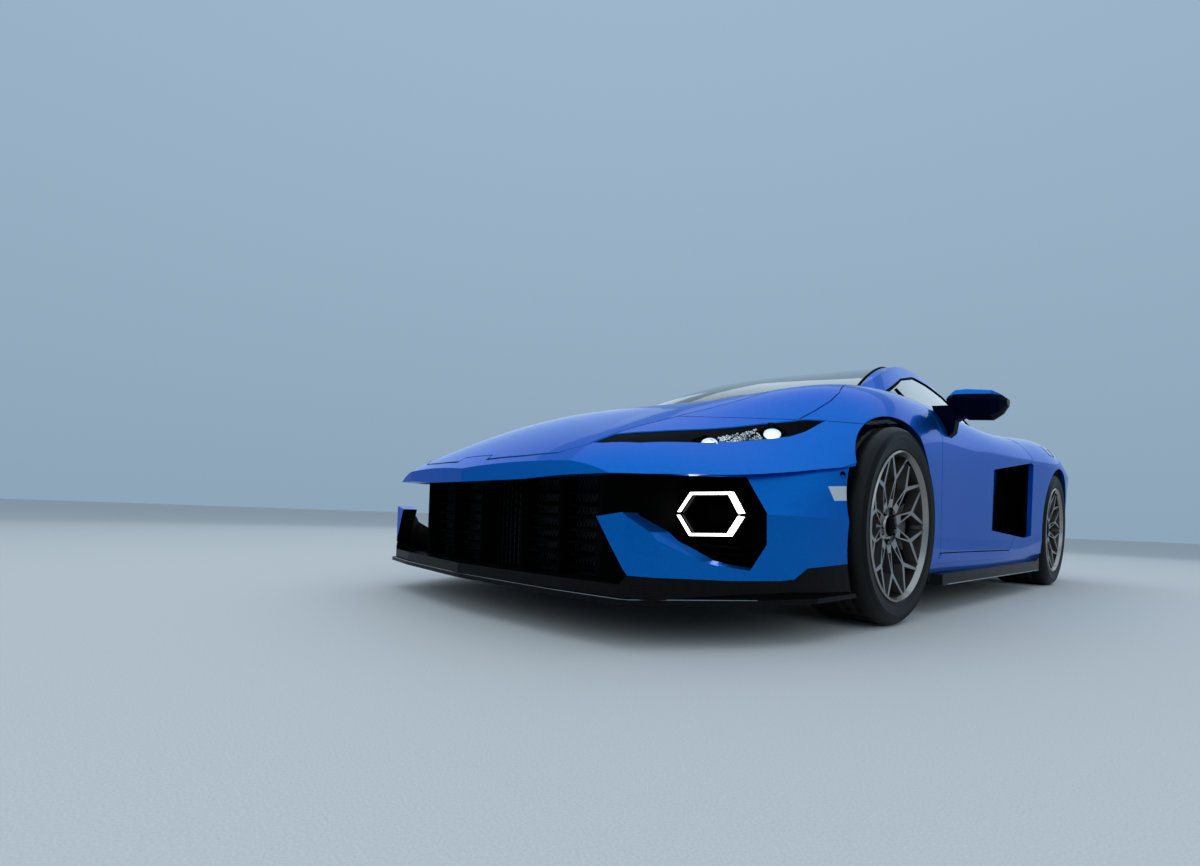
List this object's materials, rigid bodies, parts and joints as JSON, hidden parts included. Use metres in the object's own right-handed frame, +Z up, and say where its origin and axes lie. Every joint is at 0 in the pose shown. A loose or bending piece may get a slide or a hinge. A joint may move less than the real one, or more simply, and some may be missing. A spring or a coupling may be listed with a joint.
{
  "type": "supercar",
  "caption": "Low two-seat mid-engined coupe with opening doors, front lid and engine cover, steered front wheels and free-turning wheels.",
  "frame": {"origin": "on the ground below the middle of the overall length, on the centre plane", "axes": "+Z up, the nose points to -Y, +X is the car's left-hand side"},
  "size_m": [2.246, 4.706, 1.2009],
  "materials": {
    "blue_paint": "gloss metallic",
    "tinted_glass": "clear, tinted",
    "tyre": "moulded rubber",
    "wheel_alloy": "satin bronze",
    "alloy_casting": "cast",
    "engine_alloy": "cast",
    "exhaust_steel": "brushed",
    "lamp_plastic": "clear lens",
    "black_composite": "gloss black",
    "tub_composite": "matt black",
    "cabin_trim": "stitched hide"
  },
  "bodies": {
    "chassis": {"tub": "tub_composite", "front_bumper": "blue_paint", "front_splitter": "black_composite", "grille_frame": "black_composite", "fender_left": "blue_paint", "fender_right": "blue_paint", "roof_frame": "blue_paint", "windscreen": "tinted_glass", "quarter_left": "blue_paint", "quarter_right": "blue_paint", "rear_fascia": "blue_paint", "rear_diffuser": "black_composite", "rear_spoiler": "blue_paint", "headlamps": "lamp_plastic", "day_lamps": "lamp_plastic", "tail_lamps": "lamp_plastic", "side_skirts": "black_composite", "front_suspension": "alloy_casting", "rear_suspension": "alloy_casting", "engine_block": "engine_alloy", "seats": "cabin_trim", "dashboard": "cabin_trim", "exhaust_outlet": "exhaust_steel", "wheel_liners": "tub_composite", "subframes": "alloy_casting"},
    "bonnet": {"bonnet": "blue_paint"},
    "engine_cover": {"engine_cover": "blue_paint", "rear_glass": "tinted_glass"},
    "steering_wheel": {"steering_wheel": "cabin_trim"},
    "door_left": {"door_left": "blue_paint", "side_glass_left": "tinted_glass", "mirror_left": "blue_paint"},
    "steer_left": {"knuckle_front_left": "alloy_casting"},
    "wheel_front_left": {"tyre_front_left": "tyre", "rim_front_left": "wheel_alloy"},
    "wheel_rear_left": {"tyre_rear_left": "tyre", "rim_rear_left": "wheel_alloy"},
    "door_right": {"door_right": "blue_paint", "side_glass_right": "tinted_glass", "mirror_right": "blue_paint"},
    "steer_right": {"knuckle_front_right": "alloy_casting"},
    "wheel_front_right": {"tyre_front_right": "tyre", "rim_front_right": "wheel_alloy"},
    "wheel_rear_right": {"tyre_rear_right": "tyre", "rim_rear_right": "wheel_alloy"}
  },
  "joints": [
    {"name": "bonnet_lid", "type": "hinge", "parent": "chassis", "child": "bonnet", "pos_m": [0, -0.993, 0.9], "axis": [-1, 0, 0], "range_deg": [0, 60]},
    {"name": "engine_lid", "type": "hinge", "parent": "chassis", "child": "engine_cover", "pos_m": [0, 0.828, 1.15], "axis": [1, 0, 0], "range_deg": [0, 50]},
    {"name": "door_left_swing", "type": "hinge", "parent": "chassis", "child": "door_left", "pos_m": [0.925, -0.6513, 0.5], "axis": [0, 0, -1], "range_deg": [0, 60]},
    {"name": "steer_left", "type": "hinge", "parent": "chassis", "child": "steer_left", "pos_m": [0.8145, -1.203, 0.343], "axis": [0, 0, 1], "range_deg": [-33, 33]},
    {"name": "spin_front_left", "type": "hinge", "parent": "steer_left", "child": "wheel_front_left", "pos_m": [0.862, -1.203, 0.343], "axis": [1, 0, 0], "continuous": true},
    {"name": "spin_rear_left", "type": "hinge", "parent": "chassis", "child": "wheel_rear_left", "pos_m": [0.838, 1.455, 0.364], "axis": [1, 0, 0], "continuous": true},
    {"name": "door_right_swing", "type": "hinge", "parent": "chassis", "child": "door_right", "pos_m": [-0.925, -0.6513, 0.5], "axis": [0, 0, 1], "range_deg": [0, 60]},
    {"name": "steer_right", "type": "hinge", "parent": "chassis", "child": "steer_right", "pos_m": [-0.8145, -1.203, 0.343], "axis": [0, 0, 1], "range_deg": [-33, 33]},
    {"name": "spin_front_right", "type": "hinge", "parent": "steer_right", "child": "wheel_front_right", "pos_m": [-0.862, -1.203, 0.343], "axis": [1, 0, 0], "continuous": true},
    {"name": "spin_rear_right", "type": "hinge", "parent": "chassis", "child": "wheel_rear_right", "pos_m": [-0.838, 1.455, 0.364], "axis": [1, 0, 0], "continuous": true},
    {"name": "steering_wheel_turn", "type": "hinge", "parent": "chassis", "child": "steering_wheel", "pos_m": [0.36, -0.33, 0.69], "axis": [0, 0.9063, 0.4226], "range_deg": [-429, 429]}
  ],
  "couplings": [
    {"joint": "steer_right", "follows": "steer_left", "ratio": 1},
    {"joint": "steering_wheel_turn", "follows": "steer_left", "ratio": 13}
  ]
}
